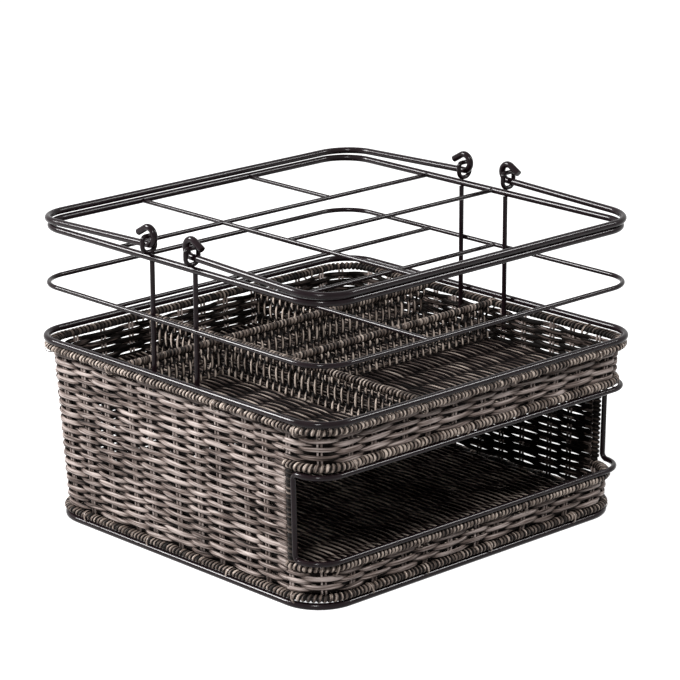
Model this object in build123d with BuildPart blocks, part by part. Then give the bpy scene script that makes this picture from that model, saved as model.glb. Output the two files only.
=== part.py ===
from build123d import *
import math
import os

# Woven serving caddy: a tapered square basket with an open plate shelf in its front, a deck split into
# six compartments above it, and a two-level wire rack with a pair of folding bail handles.
# Frame: X along the front, Y from the front to the back, Z up, origin at the centre of the base.

# ---- wire sizes (radii) ----
RING_R = 2.5  # top ring, rim ring and base ring
HANDLE_R = 2.5
POST_R = 1.8
MID_R = 1.8
GRID_R = 1.6
EYE_R = 1.7
FRAME_R = 2.0  # wire round the shelf opening

# ---- clearances ----
WELD_GAP = 0.05  # pieces that are welded or woven together
REST_GAP = 0.35  # a folded handle above the ring it rests on
MEET_GAP = 0.6  # between the two handles when both stand up
BASE_FLAT = 0.25  # wear flat under the base ring

# ---- basket wall, measured on its outer face ----
FOOT_Z = RING_R - BASE_FLAT  # centre of the base ring
RIM_Z = 139.0  # centre of the rim ring
WALL_FOOT_X = 156.7
WALL_FOOT_Y = 147.2
WALL_FOOT_CORNER = 31.0
WALL_RIM_X = 160.2
WALL_RIM_Y = 154.2
WALL_RIM_CORNER = 26.0
WALL_T = 6.5

# ---- plain wire rings: half length, half depth, corner radius ----
BASE_RING_X = 156.0
BASE_RING_Y = 146.0
BASE_RING_CORNER = 30.0
RIM_RING_X = 162.5
RIM_RING_Y = 156.5
RIM_RING_CORNER = 27.0
MID_RING_Y = 155.3
MID_RING_CORNER = 27.0
MID_Z = 180.0
TOP_RING_X = 157.25
TOP_RING_Y = 154.4
TOP_RING_CORNER = 27.0
TOP_Z = 223.5

# ---- wrapped bindings (half widths, half heights, inset of the centre from the wall's outer face) ----
BASE_BIND_W = 4.3
BASE_BIND_H = 3.5
BASE_BIND_INSET = 2.2
RIM_BIND_W = 5.0
RIM_BIND_H = 3.25
RIM_BIND_INSET = -0.4
EDGE_BIND_W = 4.25
EDGE_BIND_H = 3.25
EDGE_BIND_INSET = 2.25
POST_BIND_R = 3.25

# ---- shelf opening in the front ----
OPEN_TOP_Z = 100.0
OPEN_LOW_Z = 36.1
OPEN_CORNER = 20.0
OPEN_BEND = 4.5
OPEN_LEG_Y = -126.0

# ---- floors ----
FLOOR_T = 4.5
DECK_T = 5.0

# ---- weave, as ribs: one rib for each strand ----
LIP_ROWS = 5  # level strands under the shelf opening
SHELF_ROWS = 25  # beside it
BAND_ROWS = 7  # over it
OUTER_GROOVE = 1.1  # depth between two strands on the outer face
INNER_GROOVE = 0.4  # and on the inner face, which the posts' holes come close to
FLOOR_PITCH = 2.85  # strands of the floors, from front to back
FLOOR_GROOVE = 0.6

# ---- dividers ----
DIVIDER_T = 4.5
RAIL_R = 2.75
RAIL_Z = 134.2
RAIL_INSET = 4.65
DEPTH_MAIN_X = -56.4
DEPTH_SHORT_X = 51.4
LENGTH_REAR_Y = 60.4
LENGTH_FRONT_Y = -9.4

# ---- posts and eyelets ----
POST_X = 155.9
POST_Y = 23.3
POST_LOW_Z = 116.0
EYE_X = 158.75
EYE_HALF_W = 5.85
EYE_TOP_CORNER = 3.0
EYE_LOW_CORNER = 5.0
PIVOT_RISE = 16.0  # pivot axis above the top ring's centre

# ---- handles ----
HOOK_R = 6.2
HOOK_TIP = 9.0
HOOK_END = 60.0  # degrees on the hook circle where the tip leaves it
HANDLE_BAR_Y = 155.3
HANDLE_CORNER = 27.0

# ---- derived ----
MID_RING_X = POST_X + POST_R + MID_R + WELD_GAP
BASE_BIND_Z = FOOT_Z + RING_R + BASE_BIND_H + WELD_GAP
RIM_BIND_Z = RIM_Z - RING_R - RIM_BIND_H - WELD_GAP
BAND_BIND_Z = OPEN_TOP_Z + FRAME_R + EDGE_BIND_H + WELD_GAP
LIP_BIND_Z = OPEN_LOW_Z - FRAME_R - EDGE_BIND_H - WELD_GAP
WALL_LOW_Z = BASE_BIND_Z + BASE_BIND_H + WELD_GAP
WALL_TOP_Z = RIM_BIND_Z - RIM_BIND_H - WELD_GAP
BAND_LOW_Z = BAND_BIND_Z + EDGE_BIND_H + WELD_GAP
LIP_TOP_Z = LIP_BIND_Z - EDGE_BIND_H - WELD_GAP
EDGE_Y = OPEN_LEG_Y + FRAME_R + POST_BIND_R + WELD_GAP
SEAM_Y = EDGE_Y + POST_BIND_R + WELD_GAP
FLOOR_LOW_Z = BASE_BIND_Z - FLOOR_T / 2
DECK_LOW_Z = BAND_BIND_Z - DECK_T / 2 + WELD_GAP
DECK_TOP_Z = DECK_LOW_Z + DECK_T
PIVOT_Z = TOP_Z + PIVOT_RISE
BAR_Z = TOP_Z + RING_R + HANDLE_R + REST_GAP
EYE_LOW_Z = TOP_Z + RING_R + EYE_R + WELD_GAP
WALL_ROWS = [
    (WALL_LOW_Z, LIP_TOP_Z, LIP_ROWS),
    (LIP_TOP_Z, BAND_LOW_Z, SHELF_ROWS),
    (BAND_LOW_Z, WALL_TOP_Z, BAND_ROWS),
]
FAR = 400.0  # beyond the whole object, for cutting tools
CUT_MARGIN = 1.0  # how far a cutting tool stands past a face


def wall_plan(z, inset):
    """Half length, half depth and corner radius of the tapered wall at height z, inset from its outer face."""
    t = (z - FOOT_Z) / (RIM_Z - FOOT_Z)
    half_x = WALL_FOOT_X + (WALL_RIM_X - WALL_FOOT_X) * t - inset
    half_y = WALL_FOOT_Y + (WALL_RIM_Y - WALL_FOOT_Y) * t - inset
    corner = WALL_FOOT_CORNER + (WALL_RIM_CORNER - WALL_FOOT_CORNER) * t - inset
    return half_x, half_y, corner


def wall_outline(z, inset):
    """Rounded rectangle of the wall at height z."""
    half_x, half_y, corner = wall_plan(z, inset)
    with BuildSketch(Plane.XY.offset(z)) as outline:
        RectangleRounded(2 * half_x, 2 * half_y, corner)
    return outline.sketch


def rib_levels(rows):
    """Heights up a stretch of weave and the share of the groove's depth there: none on a strand, all between two."""
    levels = [(rows[0][0], 1)]
    for low_z, top_z, count in rows:
        pitch = (top_z - low_z) / count
        for i in range(count):
            levels += [(low_z + (i + 1 / 2) * pitch, 0), (low_z + (i + 1) * pitch, 1)]
    return levels


def wall_band(rows):
    """Tapered woven wall all round, ribbed on both faces, over one or more stretches of level strands."""
    levels = rib_levels(rows)
    outer = [wall_outline(z, share * OUTER_GROOVE) for z, share in levels]
    ends = [(levels[0][0] - CUT_MARGIN, 1), *levels, (levels[-1][0] + CUT_MARGIN, 1)]
    inner = [wall_outline(z, WALL_T - share * INNER_GROOVE) for z, share in ends]
    with BuildPart() as band:
        loft(sections=outer, ruled=True)
        loft(sections=inner, ruled=True, mode=Mode.SUBTRACT)
    return band.part


def inner_block(low_z, top_z, inset):
    """Solid that fills the basket between two heights, inset from the wall's outer face."""
    with BuildPart() as block:
        loft(sections=[wall_outline(low_z, inset), wall_outline(top_z, inset)])
    return block.part


def post_holes():
    """Clearance holes for the feet of the four posts."""
    corners = [(x, y) for x in (-POST_X, POST_X) for y in (-POST_Y, POST_Y)]
    with BuildPart() as holes:
        with BuildSketch(Plane.XY.offset(POST_LOW_Z - WELD_GAP)):
            with Locations(*corners):
                Circle(POST_R + WELD_GAP)
        extrude(amount=RIM_Z - POST_LOW_Z)
    return holes.part


def straight_wire(start, end, radius):
    """Round wire between two points."""
    run = Vector(*end) - Vector(*start)
    with BuildPart() as wire:
        with BuildSketch(Plane(origin=start, z_dir=run)):
            Circle(radius)
        extrude(amount=run.length)
    return wire


def ring_wire(half_x, half_y, corner, z, radius):
    """Round wire bent into a closed rounded rectangle at height z."""
    outline = [(half_x, -half_y, z), (half_x, half_y, z), (-half_x, half_y, z), (-half_x, -half_y, z)]
    with BuildPart() as ring:
        with BuildLine() as run:
            FilletPolyline(*outline, radius=corner, close=True)
        path = run.wire()
        with BuildSketch(Plane(origin=path @ 0, z_dir=path % 0)):
            Circle(radius)
        sweep(path=path)
    return ring


def upright_plane(path):
    """Plane across the start of a level path, its first axis level and its second axis vertical."""
    along = path % 0
    return Plane(origin=path @ 0, x_dir=along.cross(Vector(0, 0, 1)), z_dir=along)


def ring_binding(half_x, half_y, corner, z, half_w, half_h):
    """Closed wrapped binding with an oval section."""
    outline = [(half_x, -half_y, z), (half_x, half_y, z), (-half_x, half_y, z), (-half_x, -half_y, z)]
    with BuildPart() as ring:
        with BuildLine() as run:
            FilletPolyline(*outline, radius=corner, close=True)
        path = run.wire()
        with BuildSketch(upright_plane(path)):
            Ellipse(half_w, half_h)
        sweep(path=path)
    return ring


def front_binding(z):
    """Wrapped binding along the front, turned back round both corners to the seam."""
    half_x, half_y, corner = wall_plan(z, EDGE_BIND_INSET)
    turns = [(-half_x, SEAM_Y, z), (-half_x, -half_y, z), (half_x, -half_y, z), (half_x, SEAM_Y, z)]
    with BuildPart() as binding:
        with BuildLine() as run:
            FilletPolyline(*turns, radius=corner)
        path = run.wire()
        with BuildSketch(upright_plane(path)):
            Ellipse(EDGE_BIND_W, EDGE_BIND_H)
        sweep(path=path)
    return binding


def edge_binding(side):
    """Upright wrapped edge of a side wall where the opening ends; side is -1 left, 1 right."""
    ends = []
    for z in (LIP_BIND_Z + EDGE_BIND_H + WELD_GAP, BAND_BIND_Z - EDGE_BIND_H - WELD_GAP):
        half_x = wall_plan(z, EDGE_BIND_INSET)[0]
        ends.append((side * half_x, EDGE_Y, z))
    return straight_wire(ends[0], ends[1], POST_BIND_R)


def side_wall(side):
    """Left (-1) or right (1) woven wall, from the seam beside the opening to the middle of the rear corner."""
    half_x, half_y, corner = wall_plan((WALL_LOW_Z + WALL_TOP_Z) / 2, 0)
    corner_centre = (side * (half_x - corner), half_y - corner, 0)
    with BuildPart() as wall:
        add(wall_band(WALL_ROWS))
        split(bisect_by=Plane(origin=(0, SEAM_Y, 0), z_dir=(0, 1, 0)), keep=Keep.TOP)
        split(bisect_by=Plane(origin=corner_centre, z_dir=(side, -1, 0)), keep=Keep.TOP)
        add(post_holes(), mode=Mode.SUBTRACT)
    return wall


def back_wall():
    """Rear woven wall between the middles of its two corners."""
    half_x, half_y, corner = wall_plan((WALL_LOW_Z + WALL_TOP_Z) / 2, 0)
    with BuildPart() as wall:
        add(wall_band(WALL_ROWS))
        for side in (-1, 1):
            corner_centre = (side * (half_x - corner), half_y - corner, 0)
            split(bisect_by=Plane(origin=corner_centre, z_dir=(-side, 1, 0)), keep=Keep.TOP)
    return wall


def front_strip(rows):
    """Woven strip along the front, turned back round both corners to the seam."""
    with BuildPart() as strip:
        add(wall_band([rows]))
        split(bisect_by=Plane(origin=(0, SEAM_Y, 0), z_dir=(0, -1, 0)), keep=Keep.TOP)
    return strip


def woven_floor(low_z, thickness):
    """Level woven panel that fills the basket's plan, ribbed above and below by strands from front to back."""
    half_x = wall_plan(low_z, WALL_T)[0]
    count = math.ceil(2 * half_x / FLOOR_PITCH)
    first_x = -count * FLOOR_PITCH / 2
    across = [(first_x + i * FLOOR_PITCH / 2, (i + 1) % 2 * FLOOR_GROOVE) for i in range(2 * count + 1)]
    under = [(x, low_z + groove) for x, groove in across]
    over = [(x, low_z + thickness - groove) for x, groove in across]
    with BuildPart() as floor:
        with BuildSketch(Plane.XZ.offset(-FAR)):
            Polygon(*under, *over[::-1], align=None)
        extrude(amount=2 * FAR)
        add(inner_block(low_z, low_z + thickness, WALL_T + WELD_GAP), mode=Mode.INTERSECT)
    return floor


def divider_panel(low_xy, high_xy):
    """Upright woven panel over a rectangle in plan, trimmed to the tapered walls."""
    panel_low = DECK_TOP_Z + WELD_GAP
    panel_top = RAIL_Z - RAIL_R - WELD_GAP
    size_x = high_xy[0] - low_xy[0]
    size_y = high_xy[1] - low_xy[1]
    centre = ((low_xy[0] + high_xy[0]) / 2, (low_xy[1] + high_xy[1]) / 2)
    with BuildPart() as panel:
        with BuildSketch(Plane.XY.offset(panel_low)):
            with Locations(centre):
                Rectangle(size_x, size_y)
        extrude(amount=panel_top - panel_low)
        room = inner_block(panel_low - CUT_MARGIN, panel_top + CUT_MARGIN, WALL_T + WELD_GAP)
        add(room, mode=Mode.INTERSECT)
    return panel


def divider_rail(start_xy, end_xy):
    """Wrapped rail along a divider's top edge, trimmed to the inside of the rim binding."""
    with BuildPart() as rail:
        add(straight_wire((*start_xy, RAIL_Z), (*end_xy, RAIL_Z), RAIL_R).part)
        add(inner_block(RAIL_Z - 2 * RAIL_R, RAIL_Z + 2 * RAIL_R, RAIL_INSET), mode=Mode.INTERSECT)
    return rail


def opening_wire():
    """Closed wire round the shelf opening; it wraps both front corners and bends into two upright legs."""
    corners = []
    for z in (OPEN_TOP_Z, OPEN_LOW_Z):
        half_x, half_y, _ = wall_plan(z, 0)
        run = [(-half_x, OPEN_LEG_Y, z), (-half_x, -half_y, z), (half_x, -half_y, z), (half_x, OPEN_LEG_Y, z)]
        corners += run if z == OPEN_TOP_Z else run[::-1]
    bends = [OPEN_BEND, OPEN_CORNER, OPEN_CORNER, OPEN_BEND]
    with BuildPart() as wire:
        with BuildLine() as run:
            FilletPolyline(*corners, radius=bends + bends, close=True)
        path = run.wire()
        with BuildSketch(Plane(origin=path @ 0, z_dir=path % 0)):
            Circle(FRAME_R)
        sweep(path=path)
    return wire


def eyelet(side_x, side_y):
    """Upright oval wire loop welded on the top ring, with a straight level top run on the pivot axis."""
    x = side_x * EYE_X
    y = side_y * POST_Y
    corners = [
        (x - EYE_HALF_W, y, EYE_LOW_Z),
        (x + EYE_HALF_W, y, EYE_LOW_Z),
        (x + EYE_HALF_W, y, PIVOT_Z),
        (x - EYE_HALF_W, y, PIVOT_Z),
    ]
    bends = [EYE_LOW_CORNER, EYE_LOW_CORNER, EYE_TOP_CORNER, EYE_TOP_CORNER]
    with BuildPart() as loop:
        with BuildLine() as run:
            FilletPolyline(*corners, radius=bends, close=True)
        path = run.wire()
        with BuildSketch(Plane(origin=path @ 0, z_dir=path % 0)):
            Circle(EYE_R)
        sweep(path=path)
    return loop


def bail_handle(side_y):
    """Bail handle folded outwards on the top ring, a hook at each end; side_y is -1 front, 1 rear."""
    reach = HANDLE_BAR_Y - POST_Y
    drop = PIVOT_Z - BAR_Z
    slope = math.atan2(drop, reach) - math.asin(HOOK_R / math.hypot(reach, drop))

    def on_hook(side_x, angle):
        """Point on the hook's circle; the angle is measured from the outward direction, upwards."""
        out = POST_Y + HOOK_R * math.cos(angle)
        return side_x * EYE_X, side_y * out, PIVOT_Z + HOOK_R * math.sin(angle)

    arm_angle = 1.5 * math.pi - slope
    tip_angle = math.radians(HOOK_END)
    top_angle = (arm_angle + tip_angle) / 2

    def tip_end(side_x):
        """Free end of the hook's straight tip."""
        x, y, z = on_hook(side_x, tip_angle)
        along_y = side_y * HOOK_TIP * math.sin(tip_angle)
        return x, y + along_y, z - HOOK_TIP * math.cos(tip_angle)

    corner_left = (-EYE_X, side_y * HANDLE_BAR_Y, BAR_Z)
    corner_right = (EYE_X, side_y * HANDLE_BAR_Y, BAR_Z)
    with BuildPart() as handle:
        with BuildLine() as run:
            Line(tip_end(-1), on_hook(-1, tip_angle))
            ThreePointArc(on_hook(-1, tip_angle), on_hook(-1, top_angle), on_hook(-1, arm_angle))
            bail = [on_hook(-1, arm_angle), corner_left, corner_right, on_hook(1, arm_angle)]
            FilletPolyline(*bail, radius=HANDLE_CORNER)
            ThreePointArc(on_hook(1, arm_angle), on_hook(1, top_angle), on_hook(1, tip_angle))
            Line(on_hook(1, tip_angle), tip_end(1))
        path = run.wire()
        with BuildSketch(Plane(origin=path @ 0, z_dir=path % 0)):
            Circle(HANDLE_R)
        sweep(path=path)
    return handle


def rack_grid(prefix, half_x, half_y, z, ring_radius):
    """Thin wires across one ring of the rack, in line with the dividers below."""
    end_x = half_x - ring_radius - WELD_GAP
    end_y = half_y - ring_radius - WELD_GAP
    beside = GRID_R + WELD_GAP
    runs = {
        "wire_depth_main": ((DEPTH_MAIN_X, -end_y), (DEPTH_MAIN_X, end_y)),
        "wire_depth_short": ((DEPTH_SHORT_X, LENGTH_REAR_Y + beside), (DEPTH_SHORT_X, end_y)),
        "wire_rear_left": ((-end_x, LENGTH_REAR_Y), (DEPTH_MAIN_X - beside, LENGTH_REAR_Y)),
        "wire_rear_right": ((DEPTH_MAIN_X + beside, LENGTH_REAR_Y), (end_x, LENGTH_REAR_Y)),
        "wire_front": ((DEPTH_MAIN_X + beside, LENGTH_FRONT_Y), (end_x, LENGTH_FRONT_Y)),
    }
    return {
        f"{prefix}_{name}": straight_wire((*start, z), (*end, z), GRID_R)
        for name, (start, end) in runs.items()
    }


def dividers():
    """Woven dividers on the deck and their wrapped rails."""
    half = DIVIDER_T / 2
    panel_side = half + WELD_GAP
    rail_side = RAIL_R + WELD_GAP
    runs = {
        "depth_main": ((DEPTH_MAIN_X, -FAR), (DEPTH_MAIN_X, FAR)),
        "depth_short": ((DEPTH_SHORT_X, LENGTH_REAR_Y), (DEPTH_SHORT_X, FAR)),
        "rear_left": ((-FAR, LENGTH_REAR_Y), (DEPTH_MAIN_X, LENGTH_REAR_Y)),
        "rear_right": ((DEPTH_MAIN_X, LENGTH_REAR_Y), (FAR, LENGTH_REAR_Y)),
        "front": ((DEPTH_MAIN_X, LENGTH_FRONT_Y), (FAR, LENGTH_FRONT_Y)),
    }
    found = {}
    for name, ((x0, y0), (x1, y1)) in runs.items():
        for kind, clear in (("divider", panel_side), ("rail", rail_side)):
            start = [x0, y0]
            end = [x1, y1]
            if name == "depth_short":
                start[1] += clear
            if name in ("rear_right", "front"):
                start[0] += clear
            if name == "rear_left":
                end[0] -= clear
            if kind == "rail":
                found[f"rail_{name}"] = divider_rail(tuple(start), tuple(end))
            elif x0 == x1:
                found[f"divider_{name}"] = divider_panel((x0 - half, start[1]), (x0 + half, end[1]))
            else:
                found[f"divider_{name}"] = divider_panel((start[0], y0 - half), (end[0], y0 + half))
    return found


# ---- base ----
with BuildPart() as base_ring:
    add(ring_wire(BASE_RING_X, BASE_RING_Y, BASE_RING_CORNER, FOOT_Z, RING_R).part)
    split(bisect_by=Plane.XY, keep=Keep.TOP)

with BuildPart() as rim_binding:
    rim_plan = wall_plan(RIM_BIND_Z, RIM_BIND_INSET)
    add(ring_binding(*rim_plan, RIM_BIND_Z, RIM_BIND_W, RIM_BIND_H).part)
    add(post_holes(), mode=Mode.SUBTRACT)

pieces = {
    "base_ring": base_ring,
    "base_binding": ring_binding(
        *wall_plan(BASE_BIND_Z, BASE_BIND_INSET), BASE_BIND_Z, BASE_BIND_W, BASE_BIND_H
    ),
    "lower_floor": woven_floor(FLOOR_LOW_Z, FLOOR_T),
    # ---- walls ----
    "left_wall": side_wall(-1),
    "right_wall": side_wall(1),
    "rear_wall": back_wall(),
    "front_band": front_strip(WALL_ROWS[-1]),
    "front_lip": front_strip(WALL_ROWS[0]),
    # ---- shelf opening ----
    "band_binding": front_binding(BAND_BIND_Z),
    "lip_binding": front_binding(LIP_BIND_Z),
    "left_edge_binding": edge_binding(-1),
    "right_edge_binding": edge_binding(1),
    "opening_frame": opening_wire(),
    # ---- rim and deck ----
    "rim_ring": ring_wire(RIM_RING_X, RIM_RING_Y, RIM_RING_CORNER, RIM_Z, RING_R),
    "rim_binding": rim_binding,
    "deck": woven_floor(DECK_LOW_Z, DECK_T),
    # ---- rack rings ----
    "mid_ring": ring_wire(MID_RING_X, MID_RING_Y, MID_RING_CORNER, MID_Z, MID_R),
    "top_ring": ring_wire(TOP_RING_X, TOP_RING_Y, TOP_RING_CORNER, TOP_Z, RING_R),
    # ---- handles ----
    "front_handle": bail_handle(-1),
    "rear_handle": bail_handle(1),
}
pieces.update(dividers())
pieces.update(rack_grid("mid", MID_RING_X, MID_RING_Y, MID_Z, MID_R))
pieces.update(rack_grid("top", TOP_RING_X, TOP_RING_Y, TOP_Z, RING_R))

for side_x, x_name in ((-1, "left"), (1, "right")):
    for side_y, y_name in ((-1, "front"), (1, "rear")):
        foot = (side_x * POST_X, side_y * POST_Y, POST_LOW_Z)
        head = (side_x * POST_X, side_y * POST_Y, TOP_Z - RING_R - WELD_GAP)
        pieces[f"post_{x_name}_{y_name}"] = straight_wire(foot, head, POST_R)
        pieces[f"eyelet_{x_name}_{y_name}"] = eyelet(side_x, side_y)

# ---- how far a handle swings up until the two bars almost meet over the middle ----
BAR_REACH = math.hypot(HANDLE_BAR_Y - POST_Y, PIVOT_Z - BAR_Z)
REST_ANGLE = math.degrees(math.atan2(PIVOT_Z - BAR_Z, HANDLE_BAR_Y - POST_Y))
OVER_ANGLE = math.degrees(math.asin((POST_Y - HANDLE_R - MEET_GAP / 2) / BAR_REACH))
print(f"pivot height {PIVOT_Z:.2f}  swing {REST_ANGLE + 90 + OVER_ANGLE:.2f} degrees")

os.makedirs("parts", exist_ok=True)
for name, piece in pieces.items():
    piece.part.label = name
    export_step(piece.part, f"parts/{name}.step")
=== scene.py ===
import logging
import math
from dataclasses import dataclass
from enum import Enum

import bpy
import numpy as np
from mathutils import Matrix, Vector


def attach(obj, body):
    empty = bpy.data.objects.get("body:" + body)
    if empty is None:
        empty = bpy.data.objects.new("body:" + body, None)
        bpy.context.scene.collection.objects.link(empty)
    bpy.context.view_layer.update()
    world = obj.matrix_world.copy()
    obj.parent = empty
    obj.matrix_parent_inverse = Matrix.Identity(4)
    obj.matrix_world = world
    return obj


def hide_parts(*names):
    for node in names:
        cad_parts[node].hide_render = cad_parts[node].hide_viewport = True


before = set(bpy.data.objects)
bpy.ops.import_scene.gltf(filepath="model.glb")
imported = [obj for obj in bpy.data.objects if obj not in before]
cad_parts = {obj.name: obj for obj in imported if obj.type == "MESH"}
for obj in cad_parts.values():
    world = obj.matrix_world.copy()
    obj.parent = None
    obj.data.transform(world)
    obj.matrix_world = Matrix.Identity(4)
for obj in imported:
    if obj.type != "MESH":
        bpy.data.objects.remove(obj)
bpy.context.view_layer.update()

# Looks of a woven serving caddy: wicker strands laid over wire stakes, wrapped bindings and coated wire.

log = logging.getLogger("caddy")
MM = 0.001
UP = np.array([0.0, 0.0, 1.0])
Array = np.ndarray


class Body(Enum):
    """Bodies that the pieces ride on."""

    CADDY = "caddy"
    FRONT_HANDLE = "front_handle"
    REAR_HANDLE = "rear_handle"


class Slot(Enum):
    """Finish slots and their names."""

    WIRE = "painted_wire"
    STRAND = "woven_strand"
    WRAP = "wrapped_strand"


class Side(Enum):
    """Left or right half of the caddy, as the sign of X."""

    LEFT = -1
    RIGHT = 1


# ---------------------------------------------------------------- strand geometry


@dataclass
class Patch:
    """Faces of one piece before they become a mesh.

    Args:
        points: corners in millimetres, one row each.
        loops: corner numbers of all faces, one after the other.
        sizes: number of corners of each face.
        run: place along and across the strand, in millimetres, for the grain of its finish.
        tone: lightness of the strand, random from strand to strand, with painted shade at about 0 in a hollow
            and a painted highlight at about 1 on a crest.
    """

    points: Array
    loops: Array
    sizes: Array
    run: Array
    tone: Array

    @staticmethod
    def join(patches: list["Patch"]) -> "Patch":
        """Puts several patches into one, with the corner numbers moved on."""
        starts = np.cumsum([0] + [len(p.points) for p in patches[:-1]])
        return Patch(
            np.concatenate([p.points for p in patches]),
            np.concatenate([p.loops + s for p, s in zip(patches, starts)]),
            np.concatenate([p.sizes for p in patches]),
            np.concatenate([p.run for p in patches]),
            np.concatenate([p.tone for p in patches]),
        )

    def deepen(self, middle: Array, away: Array, reach: float, gain: float, inner: float = 0.0) -> "Patch":
        """Paints highlights on crests and shade in hollows into the colour, in place of the light and deep
        shade of a weave.

        With h the distance of a corner from the panel's middle surface, the tone rises by
        gain x tanh(3 (|h| / reach - 0.45)), and falls by inner where h is negative.

        Args:
            middle: strands x points x 3, the strands' lines laid flat into the middle surface.
            away: the panel's normal, broadcast to the same shape.
            reach: greatest distance from the middle surface.
            gain: rough rise of the painted highlight on a crest and fall of the painted shade near the middle
                surface.
            inner: painted shade, how much darker the back face is.

        Returns:
            The same patch.
        """
        count, steps, _ = middle.shape
        corners = self.points.reshape(count, steps, -1, 3)
        away = np.broadcast_to(away, middle.shape)
        height = ((corners - middle[:, :, None]) * away[:, :, None]).sum(-1).reshape(-1)
        self.tone = self.tone + gain * np.tanh(3 * (np.abs(height) / reach - 0.45)) - inner * (height < 0)
        return self


def unit(v: Array) -> Array:
    """Vectors along the last axis at length one."""
    return v / np.maximum(np.linalg.norm(v, axis=-1, keepdims=True), 1e-9)


def carry(
    centre: Array,
    across: Array,
    half_w: float | Array,
    half_t: float | Array,
    sides: int = 8,
    closed: bool = False,
    tone: float | Array = 0.5,
    power: float = 1.0,
    edge_painted_shade: float = 0.0,
    first_id: int = 0,
) -> Patch:
    """Carries an oval profile along many centre lines at once.

    At each point the tangent T comes from the neighbours, the width axis W is the given direction made square
    to T, and the thickness axis is T x W. A point of the profile is C + W a sgn(cos q)|cos q|^k + O b sin q,
    with cos and sin scaled so that the corners reach a and b.

    Args:
        centre: strands x points x 3, the centre lines in millimetres.
        across: rough direction of the width axis, broadcast to the centre lines.
        half_w: half width of the profile.
        half_t: half thickness of the profile.
        sides: corners of the profile.
        closed: whether each line runs back into its start.
        tone: lightness per strand or per point.
        power: k above; under 1 gives a flatter, squarer strand.
        edge_painted_shade: painted shade, how much darker the strand's edges are than its middle.
        first_id: number of the first strand, which moves its grain.

    Returns:
        The strands' surface, capped where a line has ends.
    """
    count, steps, _ = centre.shape
    if closed:
        tangent = np.roll(centre, -1, axis=1) - np.roll(centre, 1, axis=1)
    else:
        tangent = np.gradient(centre, axis=1)
    tangent = unit(tangent)
    across = np.broadcast_to(across, centre.shape)
    width = unit(across - (across * tangent).sum(-1, keepdims=True) * tangent)
    depth = np.cross(tangent, width)
    half_w = np.broadcast_to(np.asarray(half_w, float), (count, steps))[..., None]
    half_t = np.broadcast_to(np.asarray(half_t, float), (count, steps))[..., None]
    turn = 2 * np.pi * (np.arange(sides) + 0.5) / sides
    cos, sin = np.cos(turn) / np.abs(np.cos(turn)).max(), np.sin(turn) / np.abs(np.sin(turn)).max()
    a = half_w * np.sign(cos) * np.abs(cos) ** power
    b = half_t * sin
    points = centre[:, :, None] + width[:, :, None] * a[..., None] + depth[:, :, None] * b[..., None]

    steps_mm = np.linalg.norm(np.diff(centre, axis=1), axis=-1)
    length = np.concatenate([np.zeros((count, 1)), np.cumsum(steps_mm, axis=1)], axis=1)
    ids = (np.arange(count) + first_id)[:, None, None]
    along = np.broadcast_to(length[..., None] + 211.7 * ids, a.shape)
    run = np.stack([along, a + 17.3 * ids, b + 0 * a], axis=-1)
    tones = np.asarray(tone, float)
    tones = np.broadcast_to(tones[:, None] if tones.ndim == 1 else tones, (count, steps))
    # the profile's edges get painted shade, darker than its middle
    tones = (tones[..., None] - edge_painted_shade * cos**2).reshape(-1)

    number = np.arange(count * steps * sides).reshape(count, steps, sides)
    here = number if closed else number[:, :-1]
    there = np.roll(number, -1, axis=1) if closed else number[:, 1:]
    corners = [here, np.roll(here, -1, axis=2), np.roll(there, -1, axis=2), there]
    quads = np.stack(corners, axis=-1).reshape(-1)
    sizes = np.full(len(quads) // 4, 4)
    if not closed:
        caps = np.concatenate([number[:, 0, ::-1], number[:, -1]]).reshape(-1)
        quads = np.concatenate([quads, caps])
        sizes = np.concatenate([sizes, np.full(2 * count, sides)])
    return Patch(points.reshape(-1, 3), quads, sizes, run.reshape(-1, 3), tones)


def waves(rng: np.random.Generator, where: Array, lengths: tuple[float, ...], size: float) -> Array:
    """Smooth irregularity: for each strand the sum of a few sine waves of random start.

    Args:
        rng: seeded random numbers.
        where: strands x points, distance along each strand in millimetres.
        lengths: wave lengths in millimetres.
        size: rough greatest value.

    Returns:
        Values of the same shape as where.
    """
    total = np.zeros_like(where)
    for wave in lengths:
        start = rng.uniform(0, 2 * np.pi, (len(where), 1))
        total = total + np.sin(2 * np.pi * where / wave + start)
    return total * size / len(lengths)


def make_piece(
    name: str, patch: Patch, finish: bpy.types.Material, body: Body, nodes: tuple[str, ...] = ()
) -> bpy.types.Object:
    """Turns a patch into a smooth mesh in metres, dresses it and hangs it on its body.

    Args:
        name: name of the piece.
        patch: its faces.
        finish: its material.
        body: the body it moves with.
        nodes: nodes of the model that it stands for.

    Returns:
        The new object.
    """
    mesh = bpy.data.meshes.new(name)
    mesh.vertices.add(len(patch.points))
    mesh.vertices.foreach_set("co", (patch.points * MM).astype(np.float32).reshape(-1))
    mesh.loops.add(len(patch.loops))
    mesh.loops.foreach_set("vertex_index", patch.loops.astype(np.int32))
    mesh.polygons.add(len(patch.sizes))
    starts = np.concatenate([[0], np.cumsum(patch.sizes)[:-1]])
    mesh.polygons.foreach_set("loop_start", starts.astype(np.int32))
    mesh.polygons.foreach_set("loop_total", patch.sizes.astype(np.int32))
    mesh.update(calc_edges=True)
    mesh.polygons.foreach_set("use_smooth", patch.sizes == 4)
    run = mesh.attributes.new("run", "FLOAT_VECTOR", "POINT")
    run.data.foreach_set("vector", patch.run.astype(np.float32).reshape(-1))
    tone = mesh.attributes.new("tone", "FLOAT", "POINT")
    tone.data.foreach_set("value", patch.tone.astype(np.float32))
    mesh.validate()
    mesh.materials.append(finish)
    piece = bpy.data.objects.new(name, mesh)
    bpy.context.scene.collection.objects.link(piece)
    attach(piece, body.value)
    if nodes:
        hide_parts(*nodes)
    log.info("%s: %d faces", name, len(patch.sizes))
    return piece


# ---------------------------------------------------------------- finishes


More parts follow.
